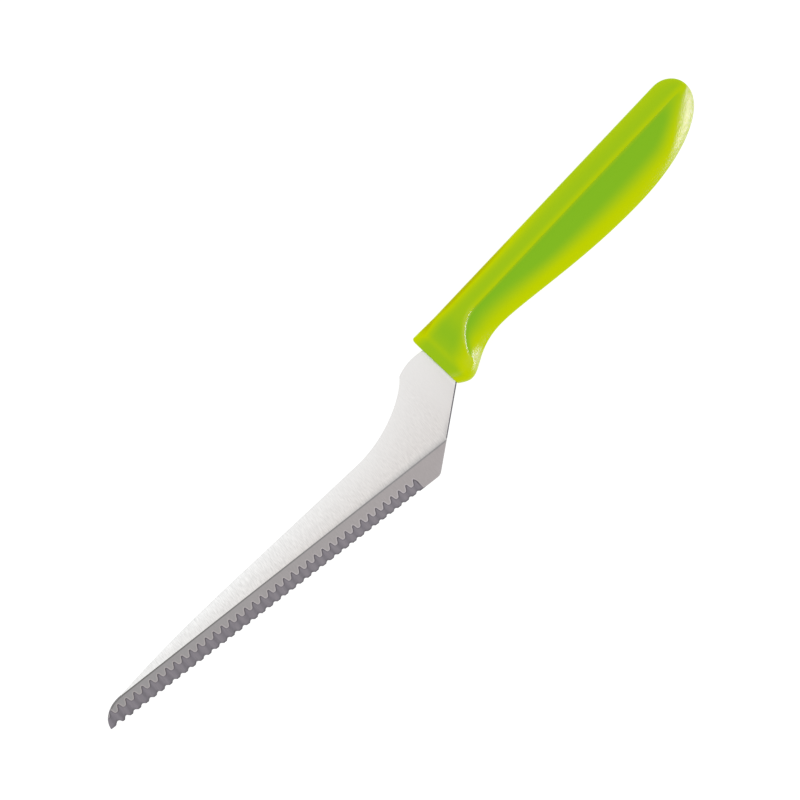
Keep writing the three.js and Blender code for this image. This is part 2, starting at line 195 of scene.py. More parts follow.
def bend_round(start, corner, end, steps=24):
    """Points along a rounded corner."""
    start, corner, end = (Vector(p[:2]) for p in (start, corner, end))
    return bend(start, start.lerp(corner, 2 / 3), end.lerp(corner, 2 / 3), end, steps)


def loft(bm, rings):
    """Extrudes a closed loop from ring to ring. Returns the loops' vertices and the first and last edges."""
    place = bm.verts.layers.int.get("place") or bm.verts.layers.int.new("place")
    old = set(bm.edges)
    loop = bmesh.ops.create_circle(bm, segments=len(rings[0]), radius=1)["verts"]
    first = edges = [e for e in bm.edges if e not in old]
    for i, vert in enumerate(loop):
        vert[place] = i
        vert.co = rings[0][i]
    loops = [loop]
    for ring in rings[1:]:
        made = bmesh.ops.extrude_edge_only(bm, edges=edges)["geom"]
        edges = [g for g in made if isinstance(g, bmesh.types.BMEdge)]
        loop = [g for g in made if isinstance(g, bmesh.types.BMVert)]
        for vert in loop:
            vert.co = ring[vert[place]]
        loops.append(loop)
    return loops, first, edges


def finish_piece(name, bm, materials, node):
    """Turns a finished bmesh into an object in the knife's place that stands for its CAD node."""
    bmesh.ops.translate(bm, verts=bm.verts, vec=KNIFE_ZERO)
    mesh = bpy.data.meshes.new(name)
    bm.to_mesh(mesh)
    bm.free()
    for material in materials:
        mesh.materials.append(material)
    piece = bpy.data.objects.new(name, mesh)
    bpy.context.scene.collection.objects.link(piece)
    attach(piece, "root")
    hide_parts(node)
    return piece


# Handle: outlines from the side and from above.
lower_outline = np.vstack([
    bend(GUARD, (GUARD[0] + GUARD_REACH, GUARD[1]), (WAIST[0] - WAIST_LEAD, WAIST[1]), WAIST),
    bend(WAIST, (WAIST[0] + WAIST_TRAIL, WAIST[1]), (BELLY[0] - BELLY_LEAD, BELLY[1]), BELLY),
])


def belly_height(x):
    if x < GUARD[0]:
        return lerp(FACE_BOTTOM_Y, GUARD[1], math.sin(x / GUARD[0] * math.pi / 2))
    if x < BELLY[0]:
        return float(np.interp(x, lower_outline[:, 0], lower_outline[:, 1]))
    return lerp(BUTT_Y, BELLY[1], quarter((x - BELLY[0]) / (HANDLE_LENGTH - BELLY[0]), BELLY_POWER))


def spine_height(x):
    level = SPINE_Y + FRONT_LIP * (1 - smoothstep(x, 0, LIP_LENGTH))
    level -= FRONT_ROUND * (1 - quarter(1 - x / FRONT_ROUND, 2))
    return lerp(BUTT_Y, level, quarter((x - HANDLE_LENGTH + BUTT_TOP_LENGTH) / BUTT_TOP_LENGTH, 2))


def half_thickness(x):
    if x < WAIST[0]:
        body = lerp(COLLAR_HALF, WAIST_HALF, smoothstep(x, NOSE_CHAMFER, WAIST[0]))
    elif x < BELLY[0]:
        body = lerp(WAIST_HALF, BELLY_HALF, smoothstep(x, WAIST[0], BELLY[0]))
    else:
        body = BELLY_HALF * quarter((x - BELLY[0]) / (HANDLE_LENGTH - BELLY[0]), BUTT_POWER)
    facet = lerp(FACE_HALF, COLLAR_HALF, x / NOSE_CHAMFER)
    near = max(CHAMFER_SOFT - abs(facet - body), 0) / CHAMFER_SOFT
    return min(facet, body) - near * near * CHAMFER_SOFT / 4


def crease_height(x):
    guard_top = belly_height(x) + GUARD_ROUND
    share = (CREASE_BEND_X - x) / CREASE_BEND_LENGTH
    crease = BUTT_Y - CREASE_BEND_DROP * (1 - quarter(share, 2))
    return max(crease, guard_top) if x < CREASE_BEND_X else BUTT_Y


CREASE_SEARCH_STEPS = 400


def crease_start():
    """Where the bent crease meets the guard's rounded edge."""
    places = np.linspace(CREASE_BEND_X - CREASE_BEND_LENGTH, CREASE_BEND_X, CREASE_SEARCH_STEPS)
    return next(x for x in places if crease_height(x) > belly_height(x) + GUARD_ROUND)


CREASE_START_X = crease_start()


def step_run(x):
    """Half the height of the crease's wall, more where the crease is steep, so that it stays as wide."""
    rise = crease_height(x + STEP_RUN) - crease_height(x - STEP_RUN)
    return STEP_RUN * min(math.hypot(1, rise / (2 * STEP_RUN)), STEP_STEEPEST)


def step_depth(x):
    front = smoothstep(x, CREASE_START_X, CREASE_START_X + STEP_FADE_FRONT)
    butt = 1 - smoothstep(x, HANDLE_LENGTH - STEP_FADE_BUTT, HANDLE_LENGTH)
    return STEP_LEAST + (STEP_DEPTH - STEP_LEAST) * front * butt


# Painted light and shade of the plastic: 0 is the deep green painted shade of its broad sides, 1 the
# yellow painted light of its edges, and more than 1 the olive painted shade of the spine's sharp corner.
# Pairs are the start and end of a change.
BAND_GLOW = 0.42
FACET_GLOW = 0.33
RIDGE_GLOW = 0.17
RIDGE_X = 0.0038
RIDGE_REACH = 0.0016
COLLAR_GLOW = 0.25
COLLAR_X = 0.0088
COLLAR_REACH = 0.0068
CORNER_GLOW_FRONT = 0.60
CORNER_GLOW_BUTT = 0.24
CORNER_REACH = 0.004
FACE_CORNER_GLOW = 0.30
FACE_CORNER_X = 0.0045
FACE_CORNER_LENGTH = 0.0095
FACE_CORNER_REACH = 0.0055
OLIVE_GLOW = 0.26
OLIVE_CROWN = (0.5, 1.0)
OLIVE_REACH = 0.003
OLIVE_FROM, OLIVE_TO = 0.002, 0.007
PALER_FROM, PALER_TO = 0.030, 0.065
CREASE_GLOW = 0.38
CREASE_REACH = 0.0022
GUARD_FADE_FACET = (0.0005, 0.0055)
GUARD_FADE_COLLAR = (0.0045, 0.011)
PANEL_FADE_BEND = (-0.1, 0.60)
PANEL_BEND_TURN = (0.011, 0.018)
PANEL_FADE_FRONT = (0.06, 0.90)
PANEL_FADE_BUTT = (0.37, 0.84)
PANEL_FADE_END = (0.0, 0.55)
PANEL_TURN = (0.020, 0.050)
PANEL_TOP_GLOW = 0.28
PANEL_TOP_REACH = 0.055
BUTT_GLOW = 0.45
BUTT_TURN = (0.101, 0.110)
PANEL_END_TURN = (0.092, 0.110)

# Points of a handle section on each of its parts.
CROWN_STEPS = 6
CORNER_STEPS = 10
BAND_STEPS = 12
CREASE_STEPS = 7
PANEL_STEPS = 36


def band_glow(x, y, top, crease, side=1):
    """Painted light and shade of the handle between its spine and its crease. The side is 0 in the spine's
    middle.
    """
    facet = fade(x, RIDGE_X - RIDGE_REACH, RIDGE_X + RIDGE_REACH)
    # A painted highlight on the ridge behind the front facet, and a darker green on the collar.
    middle = lerp(BAND_GLOW, FACET_GLOW, facet) + RIDGE_GLOW * hump(x, RIDGE_X, RIDGE_REACH)
    middle -= COLLAR_GLOW * hump(x, COLLAR_X, COLLAR_REACH)
    paler = smoothstep(x, PALER_FROM, PALER_TO)
    # Painted light along the spine's corner, most at the front, and at the front's top corner.
    corner = lerp(CORNER_GLOW_FRONT, CORNER_GLOW_BUTT, paler) * fade(top - y, 0, CORNER_REACH)
    face = FACE_CORNER_GLOW * hump(x, FACE_CORNER_X, FACE_CORNER_LENGTH)
    corner += face * fade(top - y, 0, FACE_CORNER_REACH)
    # Painted olive shade along the spine's front half.
    olive = OLIVE_GLOW * (1 - paler) * fade(top - y, 0, OLIVE_REACH) * smoothstep(x, OLIVE_FROM, OLIVE_TO)
    olive *= smoothstep(side, *OLIVE_CROWN)
    # A painted highlight along the crease.
    line = CREASE_GLOW * fade(y - crease, 0, CREASE_REACH) * smoothstep(x, CREASE_START_X, CREASE_BEND_X / 2)
    # The guard's rounded edge is painted in the lit yellow.
    ends = [lerp(a, b, 1 - facet) for a, b in zip(GUARD_FADE_FACET, GUARD_FADE_COLLAR)]
    guard = fade(y - belly_height(x), *ends) * fade(x, CREASE_BEND_X / 2, CREASE_BEND_X)
    return lerp(min(middle + corner + line, 1) + olive, 1, guard)


def panel_glow(x, down, edge):
    """Painted light and shade of the handle below its crease, from those at the crease's edge."""
    # Painted shade below the crease, turning to painted light towards the belly's rounded edge.
    turn = smoothstep(x, *PANEL_TURN)
    butt = smoothstep(x, *BUTT_TURN)
    bent = smoothstep(x, *PANEL_BEND_TURN)
    last = smoothstep(x, *PANEL_END_TURN)
    fades = zip(PANEL_FADE_BEND, PANEL_FADE_FRONT, PANEL_FADE_BUTT, PANEL_FADE_END)
    ends = []
    for start, front, middle, end in fades:
        grip = lerp(lerp(start, front, bent), middle, turn)
        ends.append(lerp(grip, end, last))
    creased = smoothstep(step_depth(x), STEP_LEAST, STEP_DEPTH / 2)
    top = lerp(edge, PANEL_TOP_GLOW * fade(down, 0, PANEL_TOP_REACH), creased)
    return lerp(max(top, BUTT_GLOW * butt), 1, smoothstep(down, *ends))


# Where the plastic is glossy: on the butt's rim, in the guard's hollow and along the crease's bend.
GLOSS_RIM_X = (0.086, 0.113)
GLOSS_RIM_TURN = (0.092, 0.114)
GLOSS_RIM_FROM = (0.84, 0.12)
GLOSS_RIM_SOFT = 0.22
GLOSS_GUARD = (0.0086, -0.0084)
GLOSS_GUARD_REACH = (0.0053, 0.0038)
GLOSS_GUARD_MOST = 0.6
GLOSS_BEND_X = (0.014, 0.022)
GLOSS_BEND_Y = (-0.0090, -0.0072)
GLOSS_LINE = (0.0006, 0.0011)
GLOSS_LINE_RISE = 0.0003


def gloss_at(x, y):
    """How glossy the plastic is, from 0 to 1."""
    crease, bottom = crease_height(x), belly_height(x)
    down = (crease - y) / max(crease - bottom, FACE_BREAK)
    start = lerp(*GLOSS_RIM_FROM, smoothstep(x, *GLOSS_RIM_TURN))
    rim = smoothstep(x, *GLOSS_RIM_X) * smoothstep(down, start, start + GLOSS_RIM_SOFT)
    guard = hump(x, GLOSS_GUARD[0], GLOSS_GUARD_REACH[0]) * hump(y, GLOSS_GUARD[1], GLOSS_GUARD_REACH[1])
    guard *= GLOSS_GUARD_MOST
    line = fade(abs(y - crease - GLOSS_LINE_RISE), *GLOSS_LINE)
    bent = line * fade(x, *GLOSS_BEND_X) * smoothstep(y, *GLOSS_BEND_Y)
    return max(rim, guard, bent)


def half_section(x, inset):
    """Points (y, z, painted light and shade) of one side of the handle, from the spine's middle round to the
    belly's middle.
    """
    top = spine_height(x) - inset
    bottom = belly_height(x) + inset
    crease = crease_height(x)
    crease_half = half_thickness(x) - inset
    roundness = min(1, crease_half / COLLAR_HALF)
    band_half = crease_half - BAND_LEAN * roundness
    radius = min(SPINE_RADIUS, (top - crease) * RADIUS_SHARE, band_half * RADIUS_SHARE)
    crown = SPINE_CROWN * roundness
    run = step_run(x) * roundness
    drop = step_depth(x) * roundness
    corner_top = top - crown
    band_top = corner_top - radius
    band_end = crease + run
    points = []
    for i in range(CROWN_STEPS):
        share = i / CROWN_STEPS
        y = top - crown * share * share
        points.append((y, (band_half - radius) * share, band_glow(x, y, top, crease, share)))
    for i in range(CORNER_STEPS):
        turn = i / CORNER_STEPS * math.pi / 2
        y = band_top + radius * math.cos(turn)
        z = band_half - radius + radius * math.sin(turn)
        points.append((y, z, band_glow(x, y, top, crease)))
    for i in range(BAND_STEPS):
        share = i / BAND_STEPS
        y = lerp(band_top, band_end, share)
        bulge = BAND_BULGE * roundness * 4 * share * (1 - share)
        points.append((y, lerp(band_half, crease_half, share) + bulge, band_glow(x, y, top, crease)))
    edge = band_glow(x, band_end, top, crease)
    for i in range(CREASE_STEPS):
        share = smoothstep(i / CREASE_STEPS, 0, 1)
        y = lerp(band_end, crease - run, i / CREASE_STEPS)
        points.append((y, crease_half - drop * share, lerp(edge, panel_glow(x, 0, edge), share * share)))
    for i in range(PANEL_STEPS + 1):
        turn = i / PANEL_STEPS * math.pi / 2
        down = math.sin(turn) ** (2 / PANEL_POWER)
        out = math.cos(turn) ** (2 / PANEL_POWER) if i < PANEL_STEPS else 0
        painted_shading = panel_glow(x, down, edge)
        points.append((lerp(crease - run, bottom, down), (crease_half - drop) * out, painted_shading))
    return points


# Sections along the handle on each of its parts.
FACE_STATIONS = 5
FRONT_STATIONS = 84
MIDDLE_STATIONS = 90
BUTT_STATIONS = 44


def handle_stations():
    """Places of the sections and how far each is drawn in: close at the front and the butt, wider between."""
    places = []
    for i in range(FACE_STATIONS):
        turn = i / (FACE_STATIONS - 1) * math.pi / 2
        places.append((FACE_BREAK * (1 - math.cos(turn)), FACE_BREAK * (1 - math.sin(turn))))
    butt_start = HANDLE_LENGTH - STEP_FADE_BUTT
    places += [(x, 0) for x in np.linspace(FACE_BREAK, CREASE_BEND_X, FRONT_STATIONS)[1:]]
    places += [(x, 0) for x in np.linspace(CREASE_BEND_X, butt_start, MIDDLE_STATIONS)[1:]]
    for i in range(1, BUTT_STATIONS):
        share = math.sin(i / BUTT_STATIONS * math.pi / 2)
        places.append((lerp(butt_start, HANDLE_LENGTH, share), 0))
    return places


def tang_section(x, grow):
    """Corners of the tang's flat section at x."""
    share = x / TANG_LENGTH
    low = lerp(TANG_FRONT[0], TANG_END[0], share) - grow
    high = lerp(TANG_FRONT[1], TANG_END[1], share) + grow
    half = STEEL / 2 + grow
    return [Vector((x, y, z)) for y, z in ((low, -half), (high, -half), (high, half), (low, half))]


def make_handle(material):
    bm = bmesh.new()
    painted_shading = bm.verts.layers.float.new("painted_shading")
    gloss = bm.verts.layers.float.new("gloss")
    sections = []
    for x, inset in handle_stations():
        half = half_section(x, inset)
        around = half + [(y, -z, g) for y, z, g in reversed(half[1:-1])]
        sections.append([(Vector((x, y, z)), g) for y, z, g in around])
    loops, face_edges, butt_edges = loft(bm, [[p for p, g in section] for section in sections])
    for loop, section in zip(loops, sections):
        for vert, (p, g) in zip(loop, section):
            vert[painted_shading] = g
            vert[gloss] = gloss_at(p.x, p.y)
    pole = bmesh.ops.extrude_edge_only(bm, edges=butt_edges)["geom"]
    pole_verts = [g for g in pole if isinstance(g, bmesh.types.BMVert)]
    bmesh.ops.pointmerge(bm, verts=pole_verts, merge_co=Vector((HANDLE_LENGTH, BUTT_Y, 0)))
    pocket = [tang_section(x, TANG_FIT) for x in (0, TANG_LENGTH)]
    pocket_loops, mouth_edges, end_edges = loft(bm, pocket)
    for vert in (v for loop in pocket_loops for v in loop):
        vert[painted_shading] = FACET_GLOW
    bmesh.ops.bridge_loops(bm, edges=face_edges + mouth_edges)
    bmesh.ops.contextual_create(bm, geom=end_edges)
    bmesh.ops.recalc_face_normals(bm, faces=bm.faces)
    for face in bm.faces:
        face.smooth = max(v.co.x for v in face.verts) > 0
    return finish_piece("moulded_handle", bm, [material], "handle")


# Blade: everything is laid out along the edge from the tip corner and across it towards the spine.
along_edge = Vector((math.cos(EDGE_ANGLE), -math.sin(EDGE_ANGLE)))
across_edge = Vector((math.sin(EDGE_ANGLE), math.cos(EDGE_ANGLE)))
tip_corner = HEEL - EDGE_LENGTH * along_edge


def on_edge(p):
    """A place in X and Y as lengths along and across the edge."""
    away = Vector(p[:2]) - tip_corner
    return Vector((away.dot(along_edge), away.dot(across_edge)))


def off_edge(along, across, z):
    flat = tip_corner + along * along_edge + across * across_edge
    return Vector((flat.x, flat.y, z))


neck_top = Vector((SHOULDER_X, NECK_TOP_Y))
neck_bottom = Vector((SHOULDER_X, NECK_BOTTOM_Y))


NOSE_POINTS = 60


def upper_outline():
    """Nose, spine, sweep and top of the neck, as lengths along and across the edge."""
    turns = np.linspace(0, math.pi / 2, NOSE_POINTS)
    nose = np.array([(NOSE_LENGTH * (1 - math.cos(t)), NOSE_HEIGHT * math.sin(t)) for t in turns])
    nose_top = off_edge(NOSE_LENGTH, NOSE_HEIGHT, 0).xy
    crown = (neck_top + NECK_CORNER) / 2 + Vector((0, NECK_CROWN))
    enter = NECK_CORNER + NECK_CORNER_REACH * (SPINE_LOW - NECK_CORNER).normalized()
    leave = NECK_CORNER + NECK_CORNER_REACH * (crown - NECK_CORNER).normalized()
    rest = np.vstack([
        bend(nose_top, nose_top + NOSE_LEAD, SPINE_LOW + SPINE_TRAIL, SPINE_LOW),
        bend(SPINE_LOW, SPINE_LOW + SWEEP_TRAIL, NECK_CORNER + SWEEP_LEAD, enter),
        bend_round(enter, NECK_CORNER, leave),
        bend_round(leave, crown, neck_top),
    ])
    return np.vstack([nose, [on_edge(p) for p in rest]])


def lower_boundary():
    """Edge, heel corner and back of the neck, as lengths along and across the edge."""
    heel = Vector((EDGE_LENGTH, 0))
    back = on_edge(neck_bottom)
    leave = heel + HEEL_REACH * (back - heel).normalized()
    corner = bend_round((EDGE_LENGTH - HEEL_REACH, 0), heel, leave)
    return np.vstack([[(0, 0)], corner, [back]])


upper = upper_outline()
lower = lower_boundary()
LAST_GROOVE = GROOVE_FIRST + (GROOVE_COUNT - 1) * (GROOVE_PITCH_TIP + GROOVE_PITCH_HEEL) / 2


def shoulder_at(along):
    return lerp(BEVEL_WIDTH_TIP, BEVEL_WIDTH_HEEL, along / EDGE_LENGTH)


def grooves_to(along):
    """How many grooves lie before a place along the edge, counted from the middle of the first."""
    tighten = (GROOVE_PITCH_TIP - GROOVE_PITCH_HEEL) / (GROOVE_COUNT - 1)
    root = math.sqrt(GROOVE_PITCH_TIP**2 - 2 * tighten * (along - GROOVE_FIRST))
    return (GROOVE_PITCH_TIP - root) / tighten


def groove_wave(count, power=1, fullness=1):
    """A row of rounded grooves: 1 in the middle of each, 0 between two of them."""
    return 1 - (1 - (0.5 + 0.5 * math.cos(2 * math.pi * count)) ** power) ** fullness


def groove_height(along, across):
    """Height of the grooves over the back face."""
    share = along / EDGE_LENGTH
    shift = lerp(GULLET_SHIFT_TIP, GULLET_SHIFT_HEEL, share)
    gullets = min(max(grooves_to(along - shift), -0.5), GROOVE_COUNT - 0.5)
    lean = GROOVE_LEAN * (across - GROOVE_REACH)
    grooves = min(grooves_to(along - lean), GROOVE_COUNT - 1)
    settled = smoothstep(along, GROOVE_FIRST, GROOVE_FIRST + 2 * GROOVE_PITCH_TIP)
    deep = GULLET_DEPTH * lerp(FIRST_GULLET, 1, settled)
    blunt = TIP_BLUNT * fade(along, GROOVE_FIRST, GROOVE_FIRST + GROOVE_PITCH_TIP / 2)
    blunt += GROOVE_SLOPE * TIP_ROUND * (1 - quarter(1 - along / TIP_ROUND, 2))
    gullet = lerp(blunt, deep, groove_wave(gullets))
    groove = GROOVE_DEPTH * groove_wave(grooves, GROOVE_POWER, GROOVE_FULLNESS)
    body = smoothstep(across, GULLET_REACH, GROOVE_REACH)
    floor = lerp(TOOTH_LAND_TIP, TOOTH_LAND_HEEL, share) - lerp(gullet, groove, body)
    runout = quarter((along - LAST_GROOVE) / GROOVE_RUNOUT, 2)
    return lerp(STEEL, floor, runout) + across * GROOVE_SLOPE


def bevel_height(along, across):
    """Height of the bevel over the back face, with a fine hollow line under its shoulder."""
    depth = shoulder_at(along) - across
    dip = SHOULDER_DIP * min(max(depth / SHOULDER_LINE, 0), 1)
    return STEEL - depth * BEVEL_SLOPE - dip


def front_height(along, across):
    """Height of the ground face over the back face."""
    height = min(STEEL, bevel_height(along, across))
    if along < LAST_GROOVE + GROOVE_RUNOUT:
        height = min(height, groove_height(along, across))
    return max(height, 0)


CROSSING_ROUNDS = 30


def crossing(test, low, high):
    """Where a test that holds at the lower end stops holding."""
    for _ in range(CROSSING_ROUNDS):
        middle = (low + high) / 2
        low, high = (middle, high) if test(middle) else (low, middle)
    return high


def gullet_at(along):
    """How far a gullet reaches in from the edge."""
    if along > LAST_GROOVE + GROOVE_RUNOUT or groove_height(along, 0) > 0:
        return 0
    return crossing(lambda r: groove_height(along, r) < 0, 0, GROOVE_REACH)


def zigzag_at(along):
    """Where the grooves run out on the bevel."""
    if along > LAST_GROOVE + GROOVE_RUNOUT or groove_height(along, 0) > bevel_height(along, 0):
        return 0
    return crossing(lambda r: groove_height(along, r) < bevel_height(along, r), 0, shoulder_at(along))


ZIGZAG_STEP = 0.00005
zigzag_places = np.arange(0, EDGE_LENGTH, ZIGZAG_STEP)
zigzag_line = np.array([zigzag_at(along) for along in zigzag_places])


def line_beside(distance):
    """The zigzag drawn again at a distance from it: above it, or below it if the distance is negative."""
    reach = int(abs(distance) / ZIGZAG_STEP)
    shifted = []
    for k in range(-reach, reach + 1):
        rise = math.sqrt(max(distance**2 - (k * ZIGZAG_STEP) ** 2, 0))
        padded = np.pad(zigzag_line, reach, mode="edge")[reach + k:reach + k + len(zigzag_line)]
        shifted.append(padded + math.copysign(rise, distance))
    return np.max(shifted, axis=0) if distance > 0 else np.min(shifted, axis=0)


shade_line = line_beside(-GROOVE_SHADE)
rim_line = line_beside(GROOVE_RIM)


def read_line(line, along):
    return float(np.interp(along, zigzag_places, line))


# Rows of points on each of the blade's faces.
GROOVE_ROWS = 7
BEVEL_ROWS = 5
FLAT_STEPS = (0, 0.0003, 0.0008, 0.0018)
FLAT_ROWS = 10
BACK_ROWS = 8
# Places round a blade section where the ground faces begin and end.
EDGE_PLACE = 1
ZIGZAG_PLACE = EDGE_PLACE + GROOVE_ROWS
SHOULDER_PLACE = ZIGZAG_PLACE + BEVEL_ROWS
SPINE_PLACE = SHOULDER_PLACE + FLAT_ROWS
BACK_PLACE = SPINE_PLACE + 3
LAST_PLACE = BACK_PLACE + BACK_ROWS + 1


def front_rows(along, low, first, last):
    """Distances of the rows on the ground face from its lower boundary."""
    zigzag = min(max(read_line(zigzag_line, along) - low, first), last)
    shoulder = min(max(shoulder_at(along) - low, zigzag), last)
    line = min(first + EDGE_LINE, zigzag)
    shade = min(max(read_line(shade_line, along) - low, line), zigzag)
    rows = [first] + [lerp(line, shade, i / (GROOVE_ROWS - 2)) for i in range(GROOVE_ROWS - 1)]
    rim = min(max(read_line(rim_line, along) - low, zigzag), shoulder)
    dark = max(shoulder - SHOULDER_LINE, rim)
    soft = max(dark - SHOULDER_LINE, rim)
    rows += [zigzag, rim, (rim + soft) / 2, soft, dark]
    steps = [min(shoulder + step, last) for step in FLAT_STEPS]
    rest = FLAT_ROWS - len(steps) + 1
    rows += steps[:-1] + [lerp(steps[-1], last, i / rest) for i in range(rest + 1)]
    return rows


def blade_section(low, high, neck):
    """Points round the blade between its lower and upper boundary, given along and across the edge."""
    width = (high - low).length
    thick, top = front_height(low.x, low.y), front_height(high.x, high.y)
    low_break = min(lerp(EDGE_BREAK, NECK_BREAK, neck), thick * BREAK_SHARE, width * BREAK_SHARE)
    high_break = min(EDGE_BREAK, top * BREAK_SHARE, width * BREAK_SHARE)
    last = width - high_break
    front = [low.lerp(high, row / width) for row in front_rows(low.x, low.y, low_break, last)]
    back = [low.lerp(high, lerp(last, low_break, i / BACK_ROWS) / width) for i in range(BACK_ROWS + 1)]
    points = [(low, thick - low_break)]
    points += [(p, front_height(p.x, p.y)) for p in front]
    points += [(high, top - high_break), (high, high_break)]
    points += [(p, 0) for p in back]
    points.append((low, low_break))
    return [off_edge(p.x, p.y, height - STEEL / 2) for p, height in points]


# How dark the painted shade on the grooves' borders, walls and edges is.
SHADE_SPAN = 0.0002
SHADE_LEFT, SHADE_RIGHT, SHADE_PEAK, SHADE_FOOT = 1.0, 0.5, 1.0, 0.3
WALL_SHADE = 0.22
EDGE_SHADE = 0.3


def groove_wall(along):
    """1 on the grooves' walls towards the tip, -1 on their walls towards the heel, 0 between; it sets the
    walls' painted shade.
    """
    return -math.sin(2 * math.pi * min(grooves_to(along), GROOVE_COUNT - 1))


def groove_shade(along):
    """How dark the painted shade on the grooves' upper border is: most at its peaks, and more on one flank
    than on the other.
    """
    rise = read_line(zigzag_line, along + SHADE_SPAN) - read_line(zigzag_line, along - SHADE_SPAN)
    flank = min(abs(rise) / (2 * SHADE_SPAN), 1)
    peak = groove_wave(min(grooves_to(along), GROOVE_COUNT - 1))
    level = lerp(SHADE_FOOT, SHADE_PEAK, peak)
    return lerp(level, SHADE_LEFT if rise > 0 else SHADE_RIGHT, flank * (1 - peak))


# Tones of the ground faces, which paint their light and shade, from -1 dark to 1 light, at the tip and the
# heel, and where they change.
GROOVE_HEEL = 0.15
BEVEL_TIP, BEVEL_HEEL = 0.0, 0.35
# A painted light rim beside the grooves.
RIM_TIP, RIM_HEEL = 0.45, 0.6
RIM_START = (0.001, 0.0035)
HEEL_RIM = 0.08
# Painted shade on the bevel at the nose.
NOSE_DARK = (0.0008, 0.0018)
# Painted light and shade on the flat: lighter towards the tip and towards the spine.
FLAT_TIP, FLAT_HEEL = 1.02, 0.1
FLAT_LOW, FLAT_SPINE = -0.45, 0.45
FLAT_LEAN = (0.08, 0.42)
# Painted dark and light lines along the neck's back edge, and the neck painted lighter towards the spine.
NECK_DARK, NECK_LIGHT, NECK_BACK, NECK_SPINE = -1.0, 1.0, 0.0, 0.55
# A darker line along the shoulder, and painted shade on the flat above it.
SHOULDER_DARK_TIP, SHOULDER_DARK_HEEL = -1.15, -0.1
SHOULDER_SOFT = (0.7, 0.55, 0.32)
SHOULDER_TURN = (0.4, 1.0)
# Painted light on the steel next to the handle.
HANDLE_LINE = 0.85
HANDLE_LINE_STATIONS = 8
NECK_TURN = 0.007
STROKE_LEAST, NECK_STROKE = 0.25, 0.15
BLADE_LAYERS = ("groove_painted_shading", "bevel_painted_shading", "flat_painted_shading", "flat_stroke")
FLAT_LAYER = BLADE_LAYERS.index("flat_painted_shading")


def ground_tones(along, neck):
    """Tones that paint the light and shade of a section's points, in the order of the blade's layers. The
    neck's share runs from 0 to 1.
    """
    share = min(along / EDGE_LENGTH, 1)
    wall = GROOVE_HEEL * share - WALL_SHADE * groove_wall(along)
    groove = {i: wall for i in range(EDGE_PLACE, ZIGZAG_PLACE)}
    # Painted shade at the edge and, at the nose, on the spine.
    groove |= {0: -1, EDGE_PLACE: -1, EDGE_PLACE + 1: wall - EDGE_SHADE, ZIGZAG_PLACE: -groove_shade(along)}
    groove |= {SPINE_PLACE: -1, SPINE_PLACE + 1: -1}
    large = lerp(lerp(BEVEL_TIP, BEVEL_HEEL, share), -1, fade(along, *NOSE_DARK))
    dark = lerp(SHOULDER_DARK_TIP, SHOULDER_DARK_HEEL, share)
    bevel = {i: large for i in range(ZIGZAG_PLACE, SHOULDER_PLACE)}
    rim = lerp(RIM_TIP, RIM_HEEL, share) * smoothstep(along, *RIM_START)
    rim = lerp(rim, HEEL_RIM, smoothstep(along, LAST_GROOVE, LAST_GROOVE + GROOVE_RUNOUT))
    bevel |= {i: large + rim for i in range(ZIGZAG_PLACE + 1)}
    bevel |= {SHOULDER_PLACE - 1: dark, SHOULDER_PLACE: dark}
    flat, stroke = {}, {}
    soft = smoothstep(share, *SHOULDER_TURN)
    for i in range(SHOULDER_PLACE, LAST_PLACE + 1):
        row = min((i - SHOULDER_PLACE) / FLAT_ROWS, 1)
        lean = smoothstep(share, *FLAT_LEAN) * lerp(FLAT_LOW, FLAT_SPINE, row)
        flat[i] = lerp(lerp(FLAT_TIP, FLAT_HEEL, share) + lean, lerp(NECK_BACK, NECK_SPINE, row), neck)
        stroke[i] = lerp(lerp(1, STROKE_LEAST, row * soft), NECK_STROKE, math.sqrt(neck))
    for i, depth in enumerate(SHOULDER_SOFT):
        flat[SHOULDER_PLACE + i] -= depth * soft * (1 - neck)
    if neck:
        groove = {0: NECK_DARK, EDGE_PLACE: NECK_DARK}
        flat[SHOULDER_PLACE] = NECK_LIGHT
    return [[layer.get(i, 0) for layer in (groove, bevel, flat, stroke)] for i in range(LAST_PLACE + 1)]


# Sections along the blade on each of its parts, and in each groove.
GROOVE_STEPS = 20
NECK_STATIONS = 110
TANG_STATIONS = 24
NOSE_STATIONS = 24
NOSE_TURNS = (0.03, 1)
LEAST_WIDTH = 0.00005


